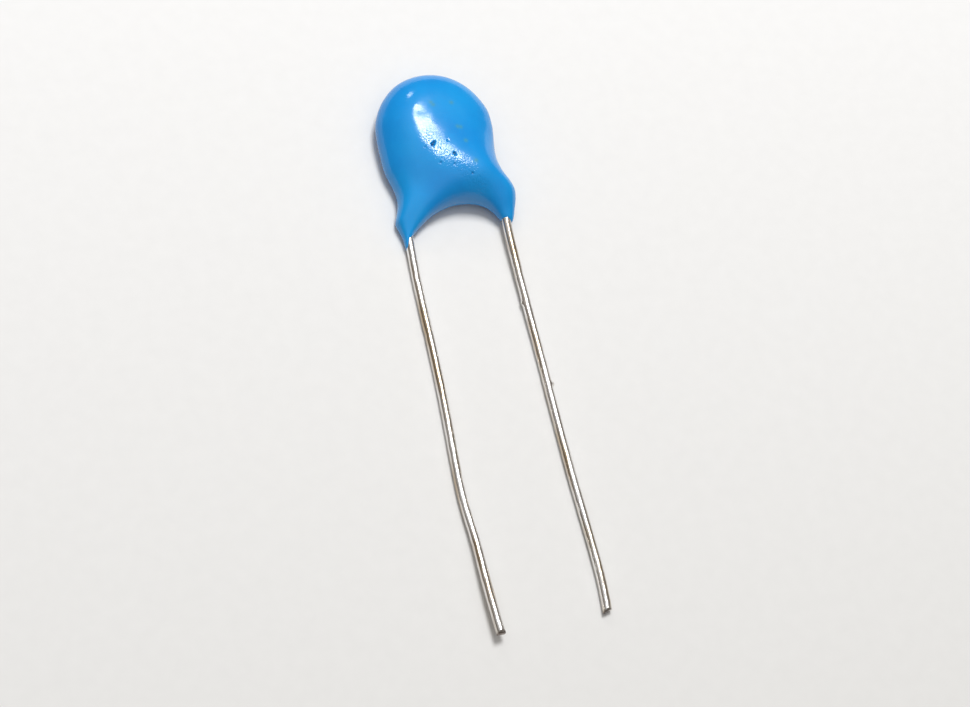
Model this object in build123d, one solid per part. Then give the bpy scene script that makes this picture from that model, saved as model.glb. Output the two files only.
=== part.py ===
from build123d import *
import math
import os

# Ceramic disc capacitor with two radial wire leads.
#
# A flat ceramic disc is fired with a silver electrode on each face.  A tinned
# wire is soldered to each electrode, and the lot is dipped in blue epoxy.  The
# coat covers the disc, bridges the two wires in a shallow arch and runs a
# little way down each wire.
#
# Everything is in millimetres.  The part lies on its rear face: +Z is up, the
# wires run towards -Y and the disc lies towards +Y.  While it is built, y = 0
# is the seating line, where the wires leave the coat, and x = 0 lies midway
# between them.  At the end the origin moves under the middle of the part.

# ---------------------------------------------------------------- dimensions

# Ceramic disc and its electrodes
DISC_D = 7.2
DISC_T = 1.0
ELECTRODE_MARGIN = 0.5
ELECTRODE_T = 0.04

# Place and tilt of the disc over the surface that the part lies on
DISC_X = -0.15
DISC_RISE = 4.04
DISC_TILT = 3.0

# Wires
LEAD_PITCH = 7.5
WIRE_D = 0.68
REAR_FREE_LENGTH = 30.7
FRONT_FREE_LENGTH = 30.3
ELBOW_BEND_R = 1.2
SEAT_BEND_R = 8.0
FREE_BEND_R = 25.0

# How each wire crosses its face, in the disc's own plane: its inner end from
# the disc's centre, and where it comes in over the rim, at its full height
WIRE_END_U = 1.6
WIRE_END_V = 1.3
WIRE_RIM_GAP = 0.4
WIRE_RIM_ANGLE = 58.0

# Elbows inside the two shoulders: outwards of the exit, above the seating line
REAR_ELBOW_OUT = 0.10
REAR_ELBOW_Y = 1.5
FRONT_ELBOW_OUT = 0.30
FRONT_ELBOW_Y = 2.2

# Room between the surface and the coat under each elbow and each exit
REAR_ELBOW_LIFT = 0.07
REAR_EXIT_LIFT = 0.01
FRONT_ELBOW_LIFT = 0.38
FRONT_EXIT_LIFT = 0.04

# The free wires are a little bent from handling: distance below the seating
# line and drift from the exit, outwards positive
REAR_TOUCH_Y = 3.2
REAR_TOUCH_OUT = 0.10
REAR_MID_Y = 11.5
REAR_MID_OUT = 0.15
REAR_BEND_Y = 20.0
REAR_BEND_OUT = 0.45
REAR_TIP_OUT = 0.11
REAR_TIP_LIFT = 0.58
FRONT_TOUCH_Y = 12.0
FRONT_TOUCH_OUT = 0.25
FRONT_BEND_Y = 19.0
FRONT_BEND_OUT = 0.31
FRONT_TIP_OUT = 0.57

# Solder: a long sloping mound over each wire
SOLDER_FILM = 0.03
SOLDER_COVER = 0.12
SOLDER_LENGTH = 4.0
SOLDER_MARGIN = 0.66
SOLDER_SLOPE = 25.0

# Epoxy coat: past the disc's edge, over the wires at the middle of a face, and
# round the wires in the ridges and legs
COAT_EDGE = 0.85
FACE_COVER = 0.50
REAR_COVER = 0.27
FRONT_COVER = 0.40
COAT_FACE_R = 12.0
COAT_RIM_R = 1.15
RIM_SHARE = 0.66

# Web of coat between the two legs, down to the arch
WEB_TOP_Y = 5.4
WEB_TOP_INSET = 0.5
WEB_TOP_T = 2.3
WEB_FOOT_Y = 0.6
WEB_FOOT_T = 1.1
WEB_FOOT_LIFT = 0.17
WEB_ROUNDING = 0.45
ARCH_R = 4.0
ARCH_TOP_Y = 1.72
ARCH_X = 0.3

# Coat that thins out down each free wire
REAR_SKIN_LENGTH = 1.2
FRONT_SKIN_LENGTH = 0.5
SKIN_END_T = 0.04
SKIN_STEP = 0.03
SKIN_OVERLAP = 0.2

# ------------------------------------------------------------ derived sizes

WIRE_R = WIRE_D / 2
WIRE_W = DISC_T / 2 + ELECTRODE_T + SOLDER_FILM + WIRE_R
ELECTRODE_D = DISC_D - 2 * ELECTRODE_MARGIN
DISC_Y = DISC_D / 2 + DISC_RISE
COAT_D = DISC_D + 2 * COAT_EDGE
COAT_T = 2 * (WIRE_W + WIRE_R + FACE_COVER)
REAR = -1
FRONT = 1


def rim_point(face):
    """Where the wire of this face comes in over the disc's rim, in the disc's axes."""
    reach = DISC_D / 2 + WIRE_RIM_GAP
    angle = math.radians(WIRE_RIM_ANGLE)
    return (face * reach * math.cos(angle), -reach * math.sin(angle))


def disc_place():
    """Where the disc lies: tilted, with the rear dome or ridge just touching z = 0."""
    slope = math.radians(DISC_TILT)
    dome = COAT_FACE_R - (COAT_FACE_R - COAT_T / 2) * math.cos(slope)
    ridge = WIRE_W * math.cos(slope) - rim_point(REAR)[1] * math.sin(slope) + WIRE_R + REAR_COVER
    return Location((DISC_X, DISC_Y, max(dome, ridge)), (DISC_TILT, 0, 0))


def on_disc(u, v, w):
    """A point given in the disc's own axes, as a point of the part."""
    return (disc_place() * Location((u, v, w))).position


def wire_end(face):
    """The wire's inner end on this face, in the disc's axes."""
    return (-face * WIRE_END_U, WIRE_END_V)


# -------------------------------------------------------------------- wires


def wire_inside(face, elbow):
    """Points of a wire from its inner end to its elbow."""
    end_u, end_v = wire_end(face)
    rim_u, rim_v = rim_point(face)
    return [
        on_disc(end_u, end_v, face * WIRE_W),
        on_disc(rim_u, rim_v, face * WIRE_W),
        elbow,
    ]


def rear_points():
    """Centre line of the rear wire, from its inner end to its free tip."""
    x = -LEAD_PITCH / 2
    leg_z = WIRE_R + REAR_COVER
    elbow = Vector(x - REAR_ELBOW_OUT, REAR_ELBOW_Y, leg_z + REAR_ELBOW_LIFT)
    return wire_inside(REAR, elbow) + [
        Vector(x, 0, leg_z + REAR_EXIT_LIFT),
        Vector(x - REAR_TOUCH_OUT, -REAR_TOUCH_Y, WIRE_R),
        Vector(x - REAR_MID_OUT, -REAR_MID_Y, WIRE_R),
        Vector(x - REAR_BEND_OUT, -REAR_BEND_Y, WIRE_R),
        Vector(x - REAR_TIP_OUT, -REAR_FREE_LENGTH, WIRE_R + REAR_TIP_LIFT),
    ]


def front_points():
    """Centre line of the front wire, from its inner end to its free tip."""
    x = LEAD_PITCH / 2
    leg_z = WIRE_R + FRONT_COVER
    elbow = Vector(x + FRONT_ELBOW_OUT, FRONT_ELBOW_Y, leg_z + FRONT_ELBOW_LIFT)
    return wire_inside(FRONT, elbow) + [
        Vector(x, 0, leg_z + FRONT_EXIT_LIFT),
        Vector(x + FRONT_TOUCH_OUT, -FRONT_TOUCH_Y, WIRE_R),
        Vector(x + FRONT_BEND_OUT, -FRONT_BEND_Y, WIRE_R),
        Vector(x + FRONT_TIP_OUT, -FRONT_FREE_LENGTH, WIRE_R),
    ]


def make_lead(points, radii):
    """A round wire along straight runs joined by tangent arcs."""
    path = Wire(FilletPolyline(*points, radius=radii).edges())
    section = Plane(path @ 0, z_dir=path % 0) * Circle(WIRE_R)
    return sweep(section, path=path)


# ------------------------------------------------------- disc and electrodes


def make_disc():
    return disc_place() * Cylinder(DISC_D / 2, DISC_T)


def make_electrode(face):
    height = face * (DISC_T + ELECTRODE_T) / 2
    return disc_place() * Pos(0, 0, height) * Cylinder(ELECTRODE_D / 2, ELECTRODE_T)


def make_solder(face, lead):
    """A mound of solder on the electrode, round the middle of the wire's crossing."""
    end_u, end_v = wire_end(face)
    rim_u, rim_v = rim_point(face)
    turn = math.degrees(math.atan2(end_v - rim_v, end_u - rim_u))
    along = -(rim_u * (end_u - rim_u) + rim_v * (end_v - rim_v))
    share = along / ((end_u - rim_u) ** 2 + (end_v - rim_v) ** 2)
    middle_u = rim_u + share * (end_u - rim_u)
    middle_v = rim_v + share * (end_v - rim_v)
    outline = SlotOverall(SOLDER_LENGTH, WIRE_D + 2 * SOLDER_MARGIN)
    mound = extrude(outline, amount=SOLDER_FILM + WIRE_D + SOLDER_COVER, taper=SOLDER_SLOPE)
    foot_w = face * (DISC_T / 2 + ELECTRODE_T)
    foot = Location((middle_u, middle_v, foot_w), (90 - 90 * face, 0, face * turn))
    return disc_place() * foot * mound - lead


# --------------------------------------------------------------- epoxy coat


def coat_lens():
    """The round pillow of epoxy over the disc: two domed faces and a rounded rim."""
    radius = COAT_D / 2
    rise = COAT_FACE_R - COAT_T / 2
    edge_t = 2 * (math.sqrt(COAT_FACE_R**2 - radius**2) - rise)
    ball = Rot(90, 0, 0) * Sphere(COAT_FACE_R)
    lens = Cylinder(radius, COAT_T) & (Pos(0, 0, -rise) * ball) & (Pos(0, 0, rise) * ball)
    rims = lens.edges().filter_by(GeomType.CIRCLE)
    return disc_place() * fillet(rims, min(COAT_RIM_R, RIM_SHARE * edge_t))


def coat_sleeve(points, cover):
    """Epoxy round the wire inside: ridge on the face, shoulder at the elbow, leg."""
    path = Wire(FilletPolyline(*points[:4], radius=ELBOW_BEND_R).edges())
    section = Plane(path @ 0, z_dir=path % 0) * Circle(WIRE_R + cover)
    return sweep(section, path=path)


def coat_skin(points, cover, length):
    """Epoxy that runs down the free wire from the leg and thins out."""
    run = Line(points[3], points[4])
    start_r = WIRE_R + cover - SKIN_STEP
    outline = Polygon(
        (0, -SKIN_OVERLAP),
        (start_r, -SKIN_OVERLAP),
        (WIRE_R + SKIN_END_T, length),
        (0, length),
        align=None,
    )
    return Plane(run @ 0, z_dir=run % 0) * revolve(Plane.XZ * outline, axis=Axis.Z)


def web_section(y, x, z, width, thickness):
    """A rounded bar across the web, on a plane that faces along Y."""
    place = Plane(origin=(x, y, z), x_dir=(1, 0, 0), z_dir=(0, -1, 0))
    return place * RectangleRounded(width, thickness, thickness * WEB_ROUNDING)


def coat_web():
    """Epoxy that bridges the two legs: thick at the disc, thin at the arch."""
    slope = math.radians(DISC_TILT)
    top_z = disc_place().position.Z - (DISC_Y - WEB_TOP_Y) * math.tan(slope)
    foot_z = WEB_FOOT_LIFT + WEB_FOOT_T / 2
    left = -LEAD_PITCH / 2 - REAR_ELBOW_OUT
    right = LEAD_PITCH / 2 + FRONT_ELBOW_OUT
    top = web_section(WEB_TOP_Y, DISC_X, top_z, COAT_D - 2 * WEB_TOP_INSET, WEB_TOP_T)
    foot = web_section(WEB_FOOT_Y, (left + right) / 2, foot_z, right - left, WEB_FOOT_T)
    web = loft([top, foot], ruled=True)
    arch = Pos(ARCH_X, ARCH_TOP_Y - ARCH_R, 0) * Cylinder(ARCH_R, 4 * COAT_T)
    return web - arch


def make_coat(rear, front, contents):
    """The whole coat, hollowed to fit exactly what it was dipped over."""
    coat = coat_lens() + coat_web()
    coat += coat_sleeve(rear, REAR_COVER) + coat_skin(rear, REAR_COVER, REAR_SKIN_LENGTH)
    coat += coat_sleeve(front, FRONT_COVER) + coat_skin(front, FRONT_COVER, FRONT_SKIN_LENGTH)
    for piece in contents:
        coat -= piece
    return coat


# ----------------------------------------------------------------- assembly


def build():
    rear = rear_points()
    front = front_points()
    rear_radii = [ELBOW_BEND_R, ELBOW_BEND_R, SEAT_BEND_R, SEAT_BEND_R, FREE_BEND_R, FREE_BEND_R]
    front_radii = [ELBOW_BEND_R, ELBOW_BEND_R, SEAT_BEND_R, FREE_BEND_R, FREE_BEND_R]
    nodes = {
        "ceramic_disc": make_disc(),
        "rear_electrode": make_electrode(REAR),
        "front_electrode": make_electrode(FRONT),
        "rear_lead": make_lead(rear, rear_radii),
        "front_lead": make_lead(front, front_radii),
    }
    nodes["rear_solder"] = make_solder(REAR, nodes["rear_lead"])
    nodes["front_solder"] = make_solder(FRONT, nodes["front_lead"])
    nodes["epoxy_coating"] = make_coat(rear, front, list(nodes.values()))
    return nodes


def set_on_origin(nodes):
    """Move the part so that the origin lies under the middle of its box."""
    bounds = Compound(children=[shape.moved(Location()) for shape in nodes.values()]).bounding_box()
    shift = Location((-bounds.center().X, -bounds.center().Y, -bounds.min.Z))
    return {name: shape.moved(shift) for name, shape in nodes.items()}


os.makedirs("parts", exist_ok=True)
for name, shape in set_on_origin(build()).items():
    print(f"{name}: {len(shape.solids())} solid, {shape.volume:.3f} mm3")
    export_step(shape, f"parts/{name}.step")
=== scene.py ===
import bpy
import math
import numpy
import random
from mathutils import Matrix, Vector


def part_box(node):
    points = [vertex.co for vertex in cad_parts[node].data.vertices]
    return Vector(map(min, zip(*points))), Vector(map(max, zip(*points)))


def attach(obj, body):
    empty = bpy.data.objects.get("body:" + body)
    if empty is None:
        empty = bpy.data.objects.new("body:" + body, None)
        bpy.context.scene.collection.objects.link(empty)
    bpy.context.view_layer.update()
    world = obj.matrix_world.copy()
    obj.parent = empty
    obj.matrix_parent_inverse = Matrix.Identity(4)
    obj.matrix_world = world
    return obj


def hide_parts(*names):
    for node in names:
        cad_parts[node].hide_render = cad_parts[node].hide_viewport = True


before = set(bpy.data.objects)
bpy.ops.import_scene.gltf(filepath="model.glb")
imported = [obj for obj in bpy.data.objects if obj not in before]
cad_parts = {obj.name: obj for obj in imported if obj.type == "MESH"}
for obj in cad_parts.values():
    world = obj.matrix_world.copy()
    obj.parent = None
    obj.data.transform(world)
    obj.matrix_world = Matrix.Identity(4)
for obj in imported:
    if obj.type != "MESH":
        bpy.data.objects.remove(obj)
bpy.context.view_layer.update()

# %% [markdown]
# # A ceramic disc capacitor
# The real part is a fired ceramic disc with a silver electrode on each face.  A tinned wire is
# soldered to each electrode, and the lot is dipped in blue epoxy.  The part lies on its rear face
# on a sheet of white paper, with its two long wires towards the viewer.  The disc, electrodes and
# solder stay as the frame has them, sealed in the epoxy.  The epoxy coat and the two wires are
# modelled here, because their soft junctions and nicks are what the eye sees first.

MM = 0.001
BENCH = 100.0          # the coat is modelled 100 times too large, then shrunk


def deselect_all():
    if bpy.context.object and bpy.context.object.mode != "OBJECT":
        bpy.ops.object.mode_set(mode="OBJECT")
    bpy.ops.object.select_all(action="DESELECT")


def pick(*objects):
    deselect_all()
    for piece in objects:
        piece.select_set(True)
    bpy.context.view_layer.objects.active = objects[0]


def apply_modifiers(piece):
    pick(piece)
    for modifier in list(piece.modifiers):
        bpy.ops.object.modifier_apply(modifier=modifier.name)


# %% [markdown]
# ## Where things are
# The wires leave the coat at the seating line, 7.5 mm apart.  Places on the part are easiest to
# think of from there: x from midway between the wires, y up from the seating line, z from the
# paper, all in millimetres.  The frame's boxes tell where that line is.

# %% From the part's own millimetres to the frame
FRONT_FREE = 30.3                 # the front wire's free length
DISC_OFF = -0.15                  # the disc sits a little left of midway between the wires
low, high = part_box("ceramic_disc")
disc_mid = (Vector(low) + Vector(high)) / 2 / MM
seat_x = disc_mid.x - DISC_OFF
seat_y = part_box("front_lead")[0][1] / MM + FRONT_FREE
TILT = math.radians(3.0)          # the disc lies a little tilted on the paper
WIRE_R = 0.34                     # wire radius


def place(x, y, z):
    """A point in the part's own millimetres, as frame metres."""
    return Vector((seat_x + x, seat_y + y, z)) * MM


def bench(x, y, z):
    """The same point on the enlarged bench."""
    return place(x, y, z) * BENCH


def on_disc(u, v, w):
    """A point in the disc's own axes, in the part's own millimetres."""
    turned = Matrix.Rotation(TILT, 3, "X") @ Vector((u, v, w))
    return turned + Vector((disc_mid.x - seat_x, disc_mid.y - seat_y, disc_mid.z))


print("seating line at y =", round(seat_y, 3), "mm, disc centre", [round(v, 2) for v in disc_mid])

# %% [markdown]
# ## The camera
# The camera looks down from the lower left at a steep angle, turned so that the wires run to the
# lower right.  It comes first, so that every piece can be looked at as soon as it is made.

# %% Camera
CAMERA_AT = (-48.46, -66.85, 157.50)
FOCAL = 2400.0
FRAME_WIDTH = 970.0
RIGHT = Vector((0.95159525, -0.22210355, 0.21245349))
DOWN = Vector((-0.13113263, -0.91855048, -0.37291989))
FORWARD = Vector((0.27797609, 0.32700921, -0.9032133))
SENSOR = 36.0
lens_data = bpy.data.cameras.new("camera")
lens_data.sensor_width = SENSOR
lens_data.lens = SENSOR * FOCAL / FRAME_WIDTH
lens_data.clip_start = 0.001
lens_data.clip_end = 10.0
camera = bpy.data.objects.new("camera", lens_data)
turn = Matrix((RIGHT, -DOWN, -FORWARD)).transposed().to_4x4()
camera.matrix_world = Matrix.Translation(place(*CAMERA_AT)) @ turn
bpy.context.scene.collection.objects.link(camera)
bpy.context.scene.camera = camera
print("camera", round(camera.location.length / MM), "mm away, lens", round(lens_data.lens, 1))

# %% [markdown]
# ## Floor and light
# A sheet of white paper lies under the part, and the room is plain.  One lamp high up on the far
# side gives the white glint along the epoxy's ridge and the soft shadow on the near side, and a
# small window beyond gives the little glint on the far rim.  Each could be a sun lamp, but an
# area lamp has a size, so its glint has a shape and its shadow a soft edge.  The room is pale
# overhead and dim low down, which gives the wires their bright middle and dark flanks.

# %% Paper
PAPER = 1.2                       # metres across
FIBRE_SCALE = 900.0
deselect_all()
bpy.ops.mesh.primitive_plane_add(size=PAPER, location=(0, 0, 0))
paper = bpy.context.object
paper.name = "paper"
paper_look = bpy.data.materials.new("white_paper")
paper_look.use_nodes = True
nodes = paper_look.node_tree.nodes
links = paper_look.node_tree.links
shader = nodes["Principled BSDF"]
shader.inputs["Roughness"].default_value = 0.9
shader.inputs["Specular IOR Level"].default_value = 0.1
coords = nodes.new("ShaderNodeTexCoord")
fibre = nodes.new("ShaderNodeTexNoise")
fibre.inputs["Scale"].default_value = FIBRE_SCALE
fibre.inputs["Detail"].default_value = 4.0
tint = nodes.new("ShaderNodeMixRGB")
tint.inputs["Color1"].default_value = (0.765, 0.765, 0.76, 1)
tint.inputs["Color2"].default_value = (0.805, 0.805, 0.80, 1)
links.new(coords.outputs["Object"], fibre.inputs["Vector"])
links.new(fibre.outputs["Fac"], tint.inputs["Fac"])

print("paper", PAPER, "m square")

# %% Painted shade: the paper's colour is made a little darker from the far end to the near end
NEAR_PAINTED_SHADE = (0.86, 0.855, 0.84, 1)
NEAR_END, FAR_END = -0.040, 0.030  # metres
fade = nodes.new("ShaderNodeMapRange")
fade.inputs["From Min"].default_value = NEAR_END
fade.inputs["From Max"].default_value = FAR_END
split = nodes.new("ShaderNodeSeparateXYZ")
shade = nodes.new("ShaderNodeMixRGB")
shade.inputs["Color1"].default_value = NEAR_PAINTED_SHADE
shade.inputs["Color2"].default_value = (1.0, 1.0, 1.0, 1)
dusk = nodes.new("ShaderNodeMixRGB")
dusk.blend_type = "MULTIPLY"
dusk.inputs["Fac"].default_value = 1.0
links.new(coords.outputs["Object"], split.inputs["Vector"])
links.new(split.outputs["Y"], fade.inputs["Value"])
links.new(fade.outputs["Result"], shade.inputs["Fac"])
links.new(tint.outputs["Color"], dusk.inputs["Color1"])
links.new(shade.outputs["Color"], dusk.inputs["Color2"])
# painted shade: the paper's colour times the far-to-near ramp
links.new(dusk.outputs["Color"], shader.inputs["Base Color"])
paper.data.materials.append(paper_look)
print("paper dims over", round(FAR_END - NEAR_END, 3), "m")

# %% Lamps
LAMP_DISTANCE = 0.5


def add_lamp(name, azimuth, elevation, size, power, stretch=1.0):
    """An area lamp that shines at the seating line from a compass direction and height."""
    data = bpy.data.lights.new(name, "AREA")
    data.shape = "RECTANGLE"
    data.size = size
    data.size_y = size * stretch
    data.energy = power
    lamp = bpy.data.objects.new(name, data)
    turn_to, up = math.radians(azimuth), math.radians(elevation)
    away = Vector((math.cos(up) * math.cos(turn_to), math.cos(up) * math.sin(turn_to), math.sin(up)))
    lamp.location = place(0, 0, 0) + away * LAMP_DISTANCE
    lamp.rotation_euler = (-away).to_track_quat("-Z", "Y").to_euler()
    bpy.context.scene.collection.objects.link(lamp)


add_lamp("key_lamp", azimuth=71, elevation=67, size=0.145, power=2.00, stretch=1.25)
add_lamp("far_window", azimuth=97, elevation=32, size=0.07, power=0.13)

# %% Room: dim and brown near the horizon, pale overhead
ROOM_TONES = [      # sine of the height above the horizon, colour
    (0.36, (0.19, 0.17, 0.15, 1)),
    (0.60, (0.30, 0.275, 0.25, 1)),
    (0.84, (0.69, 0.69, 0.70, 1)),
]
world = bpy.data.worlds.new("room")
bpy.context.scene.world = world
world.use_nodes = True
nodes = world.node_tree.nodes
links = world.node_tree.links
coords = nodes.new("ShaderNodeTexCoord")
height = nodes.new("ShaderNodeSeparateXYZ")
ramp = nodes.new("ShaderNodeValToRGB")
tones = ramp.color_ramp.elements
tones.new(0.5)
for tone, (position, colour) in zip(tones, ROOM_TONES):
    tone.position = position
    tone.color = colour
links.new(coords.outputs["Generated"], height.inputs["Vector"])
links.new(height.outputs["Z"], ramp.inputs["Fac"])
links.new(ramp.outputs["Color"], nodes["Background"].inputs["Color"])
bpy.context.scene.view_settings.view_transform = "Standard"
print("room tones:", [(round(tone.position, 2), round(tone.color[0], 2)) for tone in tones])

# %% [markdown]
# ## The epoxy coat
# The coat is what is left when the disc and its wires are dipped in thick epoxy and lifted out:
# a full pillow over the disc, with a soft ridge where the front wire crosses it, two shoulders
# where the wires bend, an arch between the legs, and a tongue of epoxy drawn down the rear wire.
# It could be sculpted, or fused from a disc and rods, but then the face shows the pieces it came from.
# Here a ball is poured over an outline instead: each ring of the ball becomes a smaller copy of
# the outline, and its height comes from a few gauge heights, so the face is one smooth skin.

# %% The outline and the gauge heights, in the part's own millimetres
OUTLINE = [
    (4.37, 7.64), (4.30, 8.79), (3.83, 9.88), (3.11, 10.85), (2.17, 11.60), (1.08, 12.06),
    (-0.15, 12.21), (-1.37, 12.04), (-2.45, 11.58), (-3.35, 10.82), (-4.03, 9.87),
    (-4.47, 8.77), (-4.60, 7.64), (-4.60, 6.30), (-4.50, 5.00), (-4.20, 3.90), (-4.02, 3.00),
    (-4.09, 2.20), (-4.34, 1.48), (-4.50, 0.92), (-4.36, 0.35), (-4.20, -0.30), (-4.16, -0.90),
    (-4.09, -1.36), (-3.97, -1.26), (-3.80, -0.75), (-3.46, -0.25), (-3.08, 0.12), (-2.60, 0.50),
    (-1.80, 1.05), (-0.96, 1.43), (-0.15, 1.66), (0.70, 1.72), (1.54, 1.60), (2.25, 1.35),
    (2.80, 0.95), (3.20, 0.48), (3.37, 0.18), (3.60, -0.02), (3.95, -0.14), (4.22, -0.14),
    (4.43, 0.20), (4.62, 0.80), (4.83, 1.50), (4.90, 2.20), (4.66, 2.90), (4.28, 3.60),
    (4.06, 4.40), (4.04, 5.20), (4.18, 6.20), (4.31, 7.00),
]
# x, y, underside, face, and how far in from the edge the rounding reaches
GAUGES = [
    (-1.50, 8.50, 0.22, 3.39, 2.6), (-1.05, 6.60, 0.12, 3.46, 2.6), (-0.40, 5.10, 0.08, 3.50, 2.3),
    (-2.30, 8.00, 0.20, 3.34, 2.5), (-1.95, 6.30, 0.10, 3.39, 2.5), (-1.10, 4.60, 0.07, 3.40, 2.2),
    (-0.80, 8.20, 0.20, 3.43, 2.6), (-1.60, 9.30, 0.26, 3.35, 2.6), (0.60, 4.10, 0.10, 3.46, 2.0),
    (2.00, 3.10, 0.20, 3.28, 1.7), (3.00, 10.1, 0.42, 2.84, 2.6),
    (-3.30, 5.20, 0.10, 2.70, 2.2), (-0.15, 11.6, 0.45, 3.12, 2.6), (-3.60, 9.40, 0.34, 2.98, 2.6),
    (3.60, 6.80, 0.30, 2.72, 2.5), (-4.20, 7.40, 0.26, 2.70, 2.5), (2.20, 5.60, 0.14, 3.20, 2.2),
    (-2.60, 3.20, 0.06, 2.40, 1.8), (0.10, 3.00, 0.12, 3.06, 1.6), (0.40, 2.20, 0.20, 2.66, 1.4),
    (-3.90, 1.90, 0.03, 1.84, 1.1), (-3.88, 0.80, 0.08, 1.40, 0.75), (-3.82, 0.00, 0.18, 1.12, 0.50),
    (-3.90, -0.8, 0.20, 0.94, 0.32), (-2.10, 1.60, 0.16, 2.06, 1.2), (2.20, 1.90, 0.36, 2.50, 1.3),
    (4.00, 2.40, 0.40, 2.44, 1.2), (3.90, 1.30, 0.40, 1.90, 0.85), (3.80, 0.50, 0.38, 1.40, 0.55),
    (3.80, 0.00, 0.42, 1.16, 0.42),
]
print("outline of", len(OUTLINE), "corners,", len(GAUGES), "gauge heights")

# %% [markdown]
# ## A smooth edge and smooth heights
# A dipped edge has no corners.  Straight lines between the outline's corners would show, so the
# line flows through them.  The heights in between come from a thin springy sheet pinned at the
# gauges, which bends as little as it can and so leaves no creases.

# %% The flowing line and the springy sheet


def flowing_line(corners, steps):
    """A smooth closed line through the corners."""
    line = []
    count = len(corners)
    for i in range(count):
        a, b, c, d = (Vector(corners[(i + k) % count]) for k in (-1, 0, 1, 2))
        for step in range(steps):
            t = step / steps
            line.append(0.5 * (2 * b + (c - a) * t + (2 * a - 5 * b + 4 * c - d) * t * t
                               + (3 * b - a - 3 * c + d) * t ** 3))
    return line


def sprung_sheet(spots, values):
    """A thin springy sheet that passes through a value at each spot, as a function of x, y."""
    count = len(spots)
    matrix = numpy.zeros((count + 3, count + 3))
    for i, (xi, yi) in enumerate(spots):
        for j, (xj, yj) in enumerate(spots):
            gap = (xi - xj) ** 2 + (yi - yj) ** 2
            matrix[i, j] = gap * math.log(gap) / 2 if gap > 0 else 0.0
        matrix[i, count:] = matrix[count:, i] = (1, xi, yi)
    weights = numpy.linalg.solve(matrix, numpy.array(list(values) + [0, 0, 0]))
    pins = numpy.array(spots)
    tiny = 1e-12

    def read(x, y):
        gap = (x[:, None] - pins[:, 0]) ** 2 + (y[:, None] - pins[:, 1]) ** 2 + tiny
        return (gap * numpy.log(gap) / 2) @ weights[:count] + weights[count:] @ numpy.array(
            [numpy.ones_like(x), x, y])
    return read


STEPS = 12                        # from one corner to the next
edge_xy = numpy.array([tuple(point) for point in flowing_line(OUTLINE, STEPS)])
spots = [gauge[:2] for gauge in GAUGES]
underside, face, rounding = (
    sprung_sheet(spots, [gauge[k] for gauge in GAUGES]) for k in (2, 3, 4)
)
print("outline of", len(edge_xy), "points")

# %% Stretch a ball over the outline
HUB = Vector((-0.15, 8.2))        # the outline is measured outwards from here
deselect_all()
bpy.ops.mesh.primitive_uv_sphere_add(segments=560, ring_count=96, radius=1.0, location=(0, 0, 0))
coat = bpy.context.object
coat.name = "dipped_coat"
coat.data.name = "dipped_coat"
ball = numpy.empty(len(coat.data.vertices) * 3)
coat.data.vertices.foreach_get("co", ball)
ball = ball.reshape(-1, 3)
around = numpy.arctan2(ball[:, 1], ball[:, 0])
spread = numpy.minimum(1.0, numpy.hypot(ball[:, 0], ball[:, 1]))
side = numpy.where(ball[:, 2] >= 0, 1.0, -1.0)
edge_turn = numpy.arctan2(edge_xy[:, 1] - HUB.y, edge_xy[:, 0] - HUB.x)
edge_reach = numpy.hypot(edge_xy[:, 1] - HUB.y, edge_xy[:, 0] - HUB.x)
order = numpy.argsort(edge_turn)
reach = numpy.interp(around, edge_turn[order], edge_reach[order], period=2 * math.pi)
x = HUB.x + reach * spread * numpy.cos(around)
y = HUB.y + reach * spread * numpy.sin(around)
print("ball of", len(x), "points, reaching", round(float(reach.max()), 2), "mm from its hub")

# %% How far each point is in from the edge
BATCH = 4000                      # points at a time, to spare memory
inward = numpy.empty(len(x))
along = numpy.roll(edge_xy, -1, axis=0) - edge_xy
for start in range(0, len(x), BATCH):
    batch = slice(start, start + BATCH)
    off_x, off_y = x[batch, None] - edge_xy[:, 0], y[batch, None] - edge_xy[:, 1]
    share = (off_x * along[:, 0] + off_y * along[:, 1]) / (along ** 2).sum(axis=1)
    share = numpy.clip(share, 0, 1)
    gaps = numpy.hypot(off_x - share * along[:, 0], off_y - share * along[:, 1])
    inward[batch] = gaps.min(axis=1)
print("deepest point is", round(float(inward.max()), 2), "mm in from the edge")

# %% Lift the points to their heights
EDGE_POWER = 2.2                  # 2 is a round edge, more is fuller
WAIST = 0.32                      # the widest level, as a share of the thickness
LEAST_ROUNDING = 0.3
low_z, high_z = underside(x, y), face(x, y)
waist = low_z + WAIST * (high_z - low_z)
slope = 1 - numpy.clip(inward / numpy.maximum(rounding(x, y), LEAST_ROUNDING), 0, 1)
swell = (1 - slope ** EDGE_POWER) ** (1 / EDGE_POWER)
z = waist + numpy.where(side > 0, high_z - waist, low_z - waist) * swell
poured = numpy.stack([x + seat_x, y + seat_y, numpy.maximum(z, 0.0)], axis=1) * MM * BENCH
coat.data.vertices.foreach_set("co", poured.ravel())
coat.data.update()
print("poured coat: thickest", round(float((high_z - low_z).max()), 2), "mm")

# %% [markdown]
# ## An even skin
# The stretched ball has long thin faces near the arch.  A remesh turns it into small even squares,
# coarse enough to stay light, and a few rounds of smoothing do what surface tension does.

# %% Even out the skin and smooth it
VOXEL = 0.064                     # mm
SMOOTHING = 9
fuse = coat.modifiers.new("fuse", "REMESH")
fuse.mode = "VOXEL"
fuse.voxel_size = VOXEL * MM * BENCH
smooth = coat.modifiers.new("smooth", "SMOOTH")
smooth.factor = 0.5
smooth.iterations = SMOOTHING
apply_modifiers(coat)
pick(coat)
bpy.ops.object.mode_set(mode="EDIT")
bpy.ops.mesh.select_all(action="SELECT")
bpy.ops.transform.resize(value=(1 / BENCH,) * 3, center_override=(0, 0, 0))
bpy.ops.mesh.normals_make_consistent(inside=False)
bpy.ops.object.mode_set(mode="OBJECT")
bpy.ops.object.shade_smooth()
print("coat:", len(coat.data.polygons), "faces,", [round(v / MM, 2) for v in coat.dimensions], "mm")
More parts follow.
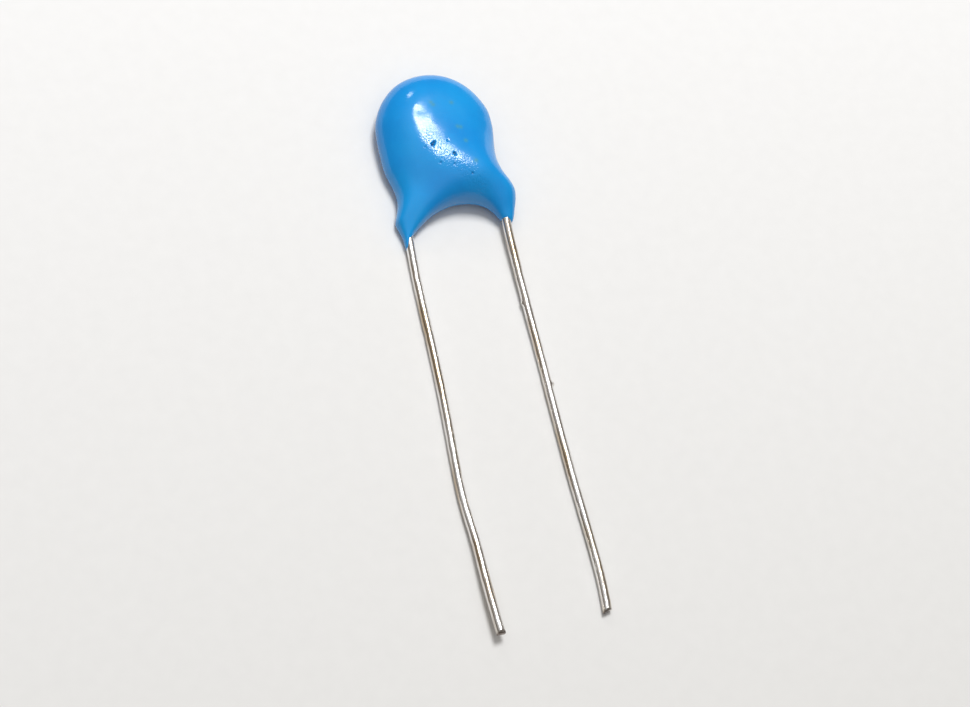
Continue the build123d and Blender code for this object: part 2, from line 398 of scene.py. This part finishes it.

# %% [markdown]
# ## Pits and pinholes
# Air and moisture leave the hot epoxy through the thin skin on the ridge, so there are three torn
# pits, six smaller ones, and a trail of pinholes down to the right shoulder.  They could be left
# to the material.  They are real dents here, pressed in point by point, so that they catch their
# own light; the material adds only the finest texture and a painted shade in the pits.

# %% Press in the pits
# x, y, size, depth, in the part's own millimetres
PITS = [
    (-1.17, 5.67, 0.12, 0.20), (-1.02, 5.83, 0.09, 0.16), (0.28, 4.75, 0.10, 0.18),
    (0.01, 5.81, 0.08, 0.07), (-0.85, 4.20, 0.08, 0.08), (0.13, 3.94, 0.07, 0.08),
    (-1.75, 5.55, 0.07, 0.05), (1.36, 3.10, 0.09, 0.08), (0.34, 4.58, 0.08, 0.09),
]
TRAIL = [(-1.30, 6.20), (-0.95, 5.10), (-0.25, 4.45), (0.65, 3.80), (1.35, 3.05), (2.05, 2.25)]
PINHOLES = 60
SCATTER = (0.32, 0.26)            # across and along the wires
PINHOLE_SIZES = (0.045, 0.085)
PINHOLE_DEPTHS = (0.004, 0.014)
FACE_FROM = 1.7                   # the pits are only in the part of the skin above this level
chance = random.Random(7)
pinholes = []
for _ in range(PINHOLES):
    leg = chance.randrange(len(TRAIL) - 1)
    share = chance.random()
    middle = [a + (b - a) * share for a, b in zip(TRAIL[leg], TRAIL[leg + 1])]
    pinholes.append((middle[0] + chance.gauss(0, SCATTER[0]), middle[1] + chance.gauss(0, SCATTER[1]),
                     chance.uniform(*PINHOLE_SIZES), chance.uniform(*PINHOLE_DEPTHS)))
points = numpy.empty(len(coat.data.vertices) * 3)
coat.data.vertices.foreach_get("co", points)
points = points.reshape(-1, 3)
own_x, own_y = points[:, 0] / MM - seat_x, points[:, 1] / MM - seat_y
on_face = points[:, 2] / MM > FACE_FROM
for pit_x, pit_y, size, depth in PITS + pinholes:
    away = numpy.hypot(own_x - pit_x, own_y - pit_y) / size
    points[:, 2] -= numpy.where(on_face, depth * MM * numpy.exp(-away ** 4), 0)
coat.data.vertices.foreach_set("co", points.ravel())
coat.data.update()
print("pits:", len(PITS), " pinholes:", len(pinholes))

# %% [markdown]
# ## Masks for the epoxy
# Where the fine pinholes, the painted shade in the pits and the dull specks lie is painted on the
# points of the skin.  A painted picture could do it too, but values on the points need no unwrapping.

# %% Paint the masks
SPECKS = [
    (-0.52, 9.10), (-0.40, 8.90), (1.08, 9.00), (1.08, 6.95), (1.30, 6.90), (1.41, 5.71), (1.78, 3.97),
]
SPECK_SIZE = 0.16
TRAIL_WIDTH = 0.75
FULL_SHADE_DEPTH = 0.17                 # a pit this deep is as dark as a pit gets
FAR_AWAY = 1e9


def near_line(stops, width):
    """How near each point of the coat is to a line of stops: 1 on it, fading over a width."""
    best = numpy.full(len(own_x), FAR_AWAY)
    for (ax, ay), (bx, by) in zip(stops, stops[1:]):
        run_x, run_y = bx - ax, by - ay
        share = ((own_x - ax) * run_x + (own_y - ay) * run_y) / (run_x ** 2 + run_y ** 2)
        share = numpy.clip(share, 0, 1)
        gap = numpy.hypot(own_x - ax - share * run_x, own_y - ay - share * run_y)
        best = numpy.minimum(best, gap)
    return numpy.exp(-(best / width) ** 2)


def paint(name, amounts):
    """Keep a mask on the points of the coat's face."""
    layer = coat.data.attributes.new(name, "FLOAT", "POINT")
    layer.data.foreach_set("value", (amounts * on_face).astype(numpy.float32))


# painted shade in the pits: the deeper a pit, the darker its mask
pit_shade = numpy.zeros(len(own_x))
for pit_x, pit_y, size, depth in PITS:
    gap = numpy.hypot(own_x - pit_x, own_y - pit_y) / size
    pit_shade = numpy.maximum(pit_shade, min(1.0, depth / FULL_SHADE_DEPTH) * numpy.exp(-gap ** 4))
specks = numpy.zeros(len(own_x))
for speck_x, speck_y in SPECKS:
    gap = numpy.hypot(own_x - speck_x, own_y - speck_y) / SPECK_SIZE
    specks = numpy.maximum(specks, numpy.exp(-gap ** 2))
paint("pinholed", near_line(TRAIL, TRAIL_WIDTH))
paint("pit_painted_shade", pit_shade)
paint("specked", specks)
print("masks:", [layer.name for layer in coat.data.attributes if layer.data_type == "FLOAT"])

# %% [markdown]
# ## Blue epoxy
# The coat is glossy pigmented epoxy: one strong blue, a little uneven, with a very fine orange
# peel and a thin softer layer over it.  It is not clear, so no light needs to pass through it.
# The masks paint shade into the pits, darker the deeper the pit, dull the specks and roughen the trail
# of pinholes.

# %% Helpers for materials


def new_finish(name):
    """A new material: its nodes, its links and its shader."""
    finish = bpy.data.materials.new(name)
    finish.use_nodes = True
    tree = finish.node_tree
    return finish, tree.nodes, tree.links, tree.nodes["Principled BSDF"]


def mottle(nodes, links, scale, low, high, stretch=(1, 1, 1), detail=3.0, sharp=(0.35, 0.65)):
    """A cloudy pattern between two values or two colours; returns its output socket."""
    coords = nodes.new("ShaderNodeTexCoord")
    shape = nodes.new("ShaderNodeMapping")
    shape.inputs["Scale"].default_value = stretch
    cloud = nodes.new("ShaderNodeTexNoise")
    cloud.inputs["Scale"].default_value = scale
    cloud.inputs["Detail"].default_value = detail
    ramp = nodes.new("ShaderNodeValToRGB")
    for element, spot, tone in zip(ramp.color_ramp.elements, sharp, (low, high)):
        element.position = spot
        element.color = (*tone, 1) if isinstance(tone, tuple) else (tone, tone, tone, 1)
    links.new(coords.outputs["Object"], shape.inputs["Vector"])
    links.new(shape.outputs["Vector"], cloud.inputs["Vector"])
    links.new(cloud.outputs["Fac"], ramp.inputs["Fac"])
    return ramp.outputs["Color"]


def mix(nodes, links, amount, under, over):
    """One colour over another, by an amount."""
    blend = nodes.new("ShaderNodeMixRGB")
    for name, source in (("Fac", amount), ("Color1", under), ("Color2", over)):
        if isinstance(source, bpy.types.NodeSocket):
            links.new(source, blend.inputs[name])
        else:
            blend.inputs[name].default_value = (*source, 1) if isinstance(source, tuple) else source
    return blend.outputs["Color"]


def bump(nodes, links, height, depth, under=None):
    """A bump of a real depth in metres; returns its normal."""
    press = nodes.new("ShaderNodeBump")
    press.inputs["Strength"].default_value = 1.0
    press.inputs["Distance"].default_value = depth
    links.new(height, press.inputs["Height"])
    if under:
        links.new(under, press.inputs["Normal"])
    return press.outputs["Normal"]


def mask(nodes, name):
    """A mask painted on the points of a mesh."""
    reader = nodes.new("ShaderNodeAttribute")
    reader.attribute_name = name
    return reader.outputs["Fac"]


print("material helpers:", ", ".join(f.__name__ for f in (new_finish, mottle, mix, bump, mask)))

# %% Epoxy material
PEEL_DEPTH = 0.0000035            # metres
PINHOLE_BUMP = 0.000009
epoxy, nodes, links, shader = new_finish("blue_epoxy")
shader.inputs["IOR"].default_value = 1.5
blue = mottle(nodes, links, 260.0, (0.001, 0.242, 0.650), (0.003, 0.290, 0.700))
streak = mottle(nodes, links, 1500.0, 0.0, 0.35, detail=5.0, sharp=(0.55, 0.75))
blue = mix(nodes, links, streak, blue, (0.002, 0.30, 0.76))
blue = mix(nodes, links, mask(nodes, "specked"), blue, (0.04, 0.28, 0.44))
# painted shade: the pits are darkened to a deep blue by their mask
blue = mix(nodes, links, mask(nodes, "pit_painted_shade"), blue, (0.002, 0.045, 0.17))
links.new(blue, shader.inputs["Base Color"])
rough = mottle(nodes, links, 900.0, 0.10, 0.20, detail=4.0)
links.new(rough, shader.inputs["Roughness"])
shader.inputs["Coat Weight"].default_value = 0.15
shader.inputs["Coat Roughness"].default_value = 0.32
peel = mottle(nodes, links, 1100.0, 0.0, 1.0, detail=2.0, sharp=(0.2, 0.8))
normal = bump(nodes, links, peel, PEEL_DEPTH)
holes = mottle(nodes, links, 7000.0, 0.0, 1.0, detail=3.0, sharp=(0.36, 0.50))
deep = mix(nodes, links, mask(nodes, "pinholed"), (1.0, 1.0, 1.0), holes)
normal = bump(nodes, links, deep, PINHOLE_BUMP, normal)
links.new(normal, shader.inputs["Normal"])
coat.data.materials.clear()
coat.data.materials.append(epoxy)
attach(coat, "root")
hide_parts("epoxy_coating")
print("epoxy on", coat.name)

# %% [markdown]
# ## The two wires
# Each wire is stiff tinned copper, soldered inside the coat, bent once at the shoulder and cut
# with side cutters at its free end.  A cylinder would be too perfect, so each is a round rod
# drawn along a smooth path that wanders a little, with a worn skin and a cut tip.

# %% Draw the wires


def rod(name, stops, radius):
    """A round rod along a smooth path through stops, drawn on the bench and made a mesh."""
    deselect_all()
    bpy.ops.curve.primitive_nurbs_path_add()
    path = bpy.context.object
    path.name = name
    path.data.name = name
    spline = path.data.splines[0]
    spline.points.add(len(stops) - len(spline.points))
    for point, spot in zip(spline.points, stops):
        point.co = (*bench(*spot), 1.0)
    spline.use_endpoint_u = True
    spline.order_u = 3
    spline.resolution_u = 28
    path.data.bevel_depth = radius * MM * BENCH
    path.data.bevel_resolution = 7
    path.data.use_fill_caps = True
    path.location = (0, 0, 0)
    pick(path)
    bpy.ops.object.convert(target="MESH")
    return bpy.context.object


FLAT = WIRE_R                     # the height of a wire that lies on the paper
rear_stops = [
    on_disc(1.6, 1.3, -0.91), on_disc(-0.3, -1.1, -0.91), on_disc(-2.12, -3.39, -0.91),
    (-3.30, 2.60, 0.78), (-3.80, 1.80, 0.68), (-3.80, 0.80, 0.66), (-3.76, 0.0, 0.60),
    (-3.78, -1.6, 0.46), (-3.84, -3.4, FLAT), (-3.87, -6.2, FLAT), (-3.86, -9.4, FLAT),
    (-3.92, -12.4, FLAT), (-4.03, -15.2, FLAT), (-4.18, -18.2, FLAT), (-4.24, -20.8, 0.36),
    (-4.02, -23.8, 0.52), (-4.03, -26.6, 0.70), (-3.95, -29.0, 0.82), (-3.86, -30.95, 0.92),
]
front_stops = [
    on_disc(-1.6, 1.3, 0.91), on_disc(0.3, -1.1, 0.91), on_disc(2.12, -3.39, 0.91),
    (3.20, 3.10, 1.48), (3.88, 2.30, 1.14), (3.86, 1.30, 0.98), (3.76, 0.0, 0.80),
    (3.79, -3.0, 0.58), (3.88, -7.2, 0.42), (3.98, -10.6, FLAT), (3.99, -14.0, FLAT),
    (4.03, -17.2, FLAT), (4.10, -20.4, FLAT), (4.23, -23.6, FLAT), (4.35, -26.6, FLAT),
    (4.32, -29.0, FLAT), (4.18, -30.55, FLAT),
]
rear_wire = rod("rear_wire", rear_stops, WIRE_R)
front_wire = rod("front_wire", front_stops, WIRE_R)
print("wires:", [len(wire.data.polygons) for wire in (rear_wire, front_wire)], "faces")

# %% [markdown]
# ## Cut ends
# Side cutters pinch a wire from two sides, so the end has slanting faces and an edge between
# them.  A cut shape could be taken away from the rod instead.  Planes that slice the mesh and fill
# each cut are closer to the tool: each plane is one closing of the cutters.

# %% Cut the tips


def snip(piece, spot, direction):
    """One closing of the cutters: what lies beyond the plane falls off and the cut is filled."""
    pick(piece)
    bpy.ops.object.mode_set(mode="EDIT")
    bpy.ops.mesh.select_all(action="SELECT")
    bpy.ops.mesh.bisect(plane_co=bench(*spot), plane_no=direction, use_fill=True, clear_outer=True)
    bpy.ops.object.mode_set(mode="OBJECT")


snip(rear_wire, (-3.86, -30.72, 0.92), (0.10, -0.97, 0.15))
snip(rear_wire, (-3.86, -30.60, 1.12), (0.25, -0.60, 0.76))
snip(rear_wire, (-3.86, -30.66, 0.66), (-0.15, -0.75, -0.65))
snip(front_wire, (4.20, -30.30, 0.34), (0.26, -0.96, 0.06))
snip(front_wire, (4.20, -30.20, 0.60), (0.10, -0.62, 0.78))
for wire in (rear_wire, front_wire):
    print(wire.name, "cut to", round(wire.dimensions.y / (MM * BENCH), 1), "mm along")

# %% [markdown]
# ## Wear
# Drawn wire is never quite round, and these have been handled.  A texture could only fake it, and
# the outline would stay perfect, so the skin itself moves in and out by a few microns, with dents
# and burrs at their own places.  A mask on the points keeps the cut ends dark.

# %% Wear the wires
FREE_FROM = -1.5                  # the wander begins below the coat
WAVES = 14
WANDER = 0.0011                   # mm for each wave
# how far back from each cut end the wire is painted dark
CUT_DARK_LENGTH = 0.16                  # mm
REAR_MARKS = [                    # x, y, z, size, height
    (-4.10, -8.0, 0.5, 0.25, -0.03), (-3.70, -19.0, 0.5, 0.4, -0.03), (-3.7, -3.6, 0.6, 0.3, -0.03),
]
FRONT_MARKS = [
    (3.52, -6.5, 0.5, 0.16, 0.10), (4.36, -13.0, 0.40, 0.15, 0.16), (4.1, -22.0, 0.6, 0.3, -0.03),
]


def wear(piece, seed, marks):
    """Move a wire's skin in and out, with dents and burrs at its marks, and shrink it to size."""
    skin = numpy.empty(len(piece.data.vertices) * 3)
    piece.data.vertices.foreach_get("co", skin)
    skin = skin.reshape(-1, 3)
    out = numpy.empty(len(skin) * 3)
    piece.data.vertex_normals.foreach_get("vector", out)
    out = out.reshape(-1, 3)
    own = skin / (MM * BENCH) - numpy.array([seat_x, seat_y, 0])
    draw = random.Random(seed)
    push = numpy.zeros(len(skin))
    turn = numpy.arctan2(out[:, 2], out[:, 0])
    for _ in range(WAVES):
        pace, phase, lobe = draw.uniform(0.8, 7.0), draw.uniform(0, 6.28), draw.choice((0, 1, 2, 3))
        push += WANDER * numpy.sin(own[:, 1] * pace + lobe * turn + phase)
    push *= own[:, 1] < FREE_FROM
    for mark_x, mark_y, mark_z, size, height in marks:
        gap = numpy.linalg.norm(own - numpy.array([mark_x, mark_y, mark_z]), axis=1) / size
        push += height * numpy.exp(-gap ** 2)
    skin += out * push[:, None] * MM * BENCH
    skin[:, 2] = numpy.maximum(skin[:, 2], 0)
    skin /= BENCH
    piece.data.vertices.foreach_set("co", skin.ravel())
    past = own[:, 1] - own[:, 1].min()
    cut = piece.data.attributes.new("cut", "FLOAT", "POINT")
    cut.data.foreach_set("value", numpy.exp(-(past / CUT_DARK_LENGTH) ** 2).astype(numpy.float32))
    piece.data.update()


wear(rear_wire, 3, REAR_MARKS)
wear(front_wire, 5, FRONT_MARKS)
for wire in (rear_wire, front_wire):
    pick(wire)
    bpy.ops.object.mode_set(mode="EDIT")
    bpy.ops.mesh.select_all(action="SELECT")
    bpy.ops.mesh.remove_doubles(threshold=0.000002)
    bpy.ops.mesh.normals_make_consistent(inside=False)
    bpy.ops.object.mode_set(mode="OBJECT")
    bpy.ops.object.shade_smooth_by_angle(angle=math.radians(35))
    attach(wire, "root")
    print(wire.name, "at true size,", round(wire.dimensions.y / MM, 1), "mm long")
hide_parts("rear_lead")
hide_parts("front_lead")

# %% [markdown]
# ## Metal and ceramic
# The wires are tinned: bright, with brown handling stains drawn out along them and fine drawing
# lines.  Inside the coat, the solder is dull and lumpy, the electrodes are fired silver paste,
# and the ceramic is a fine-grained tan body.

# %% Tinned wire
LINE_DEPTH = 0.0000020            # metres
DING_DEPTH = 0.0000045
tin, nodes, links, shader = new_finish("tinned_copper")
shader.inputs["Metallic"].default_value = 1.0
stain = mottle(nodes, links, 1800.0, 0.0, 1.0, stretch=(1, 0.10, 1), detail=5.0, sharp=(0.47, 0.66))
metal = mottle(nodes, links, 4000.0, (0.72, 0.70, 0.67), (0.90, 0.89, 0.87), stretch=(1, 0.04, 1))
metal = mix(nodes, links, stain, metal, (0.50, 0.40, 0.28))
# the last bit of each cut end is painted dark
metal = mix(nodes, links, mask(nodes, "cut"), metal, (0.16, 0.12, 0.10))
links.new(metal, shader.inputs["Base Color"])
gloss = mottle(nodes, links, 2500.0, 0.14, 0.27, stretch=(1, 0.15, 1))
links.new(gloss, shader.inputs["Roughness"])
lines = mottle(nodes, links, 9000.0, 0.0, 1.0, stretch=(1, 0.02, 1), detail=2.0)
normal = bump(nodes, links, lines, LINE_DEPTH)
dings = mottle(nodes, links, 1600.0, 0.0, 1.0, stretch=(1, 0.5, 1), detail=3.0)
links.new(bump(nodes, links, dings, DING_DEPTH, normal), shader.inputs["Normal"])
for wire in (rear_wire, front_wire):
    wire.data.materials.clear()
    wire.data.materials.append(tin)
print("tin on", rear_wire.name, "and", front_wire.name)

# %% Solder, silver and ceramic inside the coat


def plain_finish(name, tone_scale, low, high, gloss_scale, smooth_end, rough_end, grain_scale, depth):
    """A finish with a cloudy colour, an uneven gloss and a grain of a depth in metres."""
    finish, nodes, links, shader = new_finish(name)
    links.new(mottle(nodes, links, tone_scale, low, high), shader.inputs["Base Color"])
    links.new(mottle(nodes, links, gloss_scale, smooth_end, rough_end), shader.inputs["Roughness"])
    grain = mottle(nodes, links, grain_scale, 0.0, 1.0)
    links.new(bump(nodes, links, grain, depth), shader.inputs["Normal"])
    return finish, shader


solder, shader = plain_finish("dull_solder", 1500.0, (0.42, 0.42, 0.43), (0.66, 0.66, 0.66),
                              2200.0, 0.28, 0.5, 1200.0, 0.00002)
shader.inputs["Metallic"].default_value = 1.0
silver, shader = plain_finish("fired_silver_paste", 3000.0, (0.74, 0.73, 0.70), (0.90, 0.89, 0.86),
                              5000.0, 0.42, 0.6, 9000.0, 0.000004)
shader.inputs["Metallic"].default_value = 1.0
ceramic, shader = plain_finish("tan_ceramic", 4000.0, (0.50, 0.40, 0.29), (0.62, 0.52, 0.40),
                               5000.0, 0.55, 0.75, 12000.0, 0.000005)
INSIDE = {
    "rear_solder": solder, "front_solder": solder, "rear_electrode": silver,
    "front_electrode": silver, "ceramic_disc": ceramic,
}
for node, finish in INSIDE.items():
    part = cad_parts[node]
    part.data.materials.clear()
    part.data.materials.append(finish)
print("finishes inside:", sorted({finish.name for finish in INSIDE.values()}))
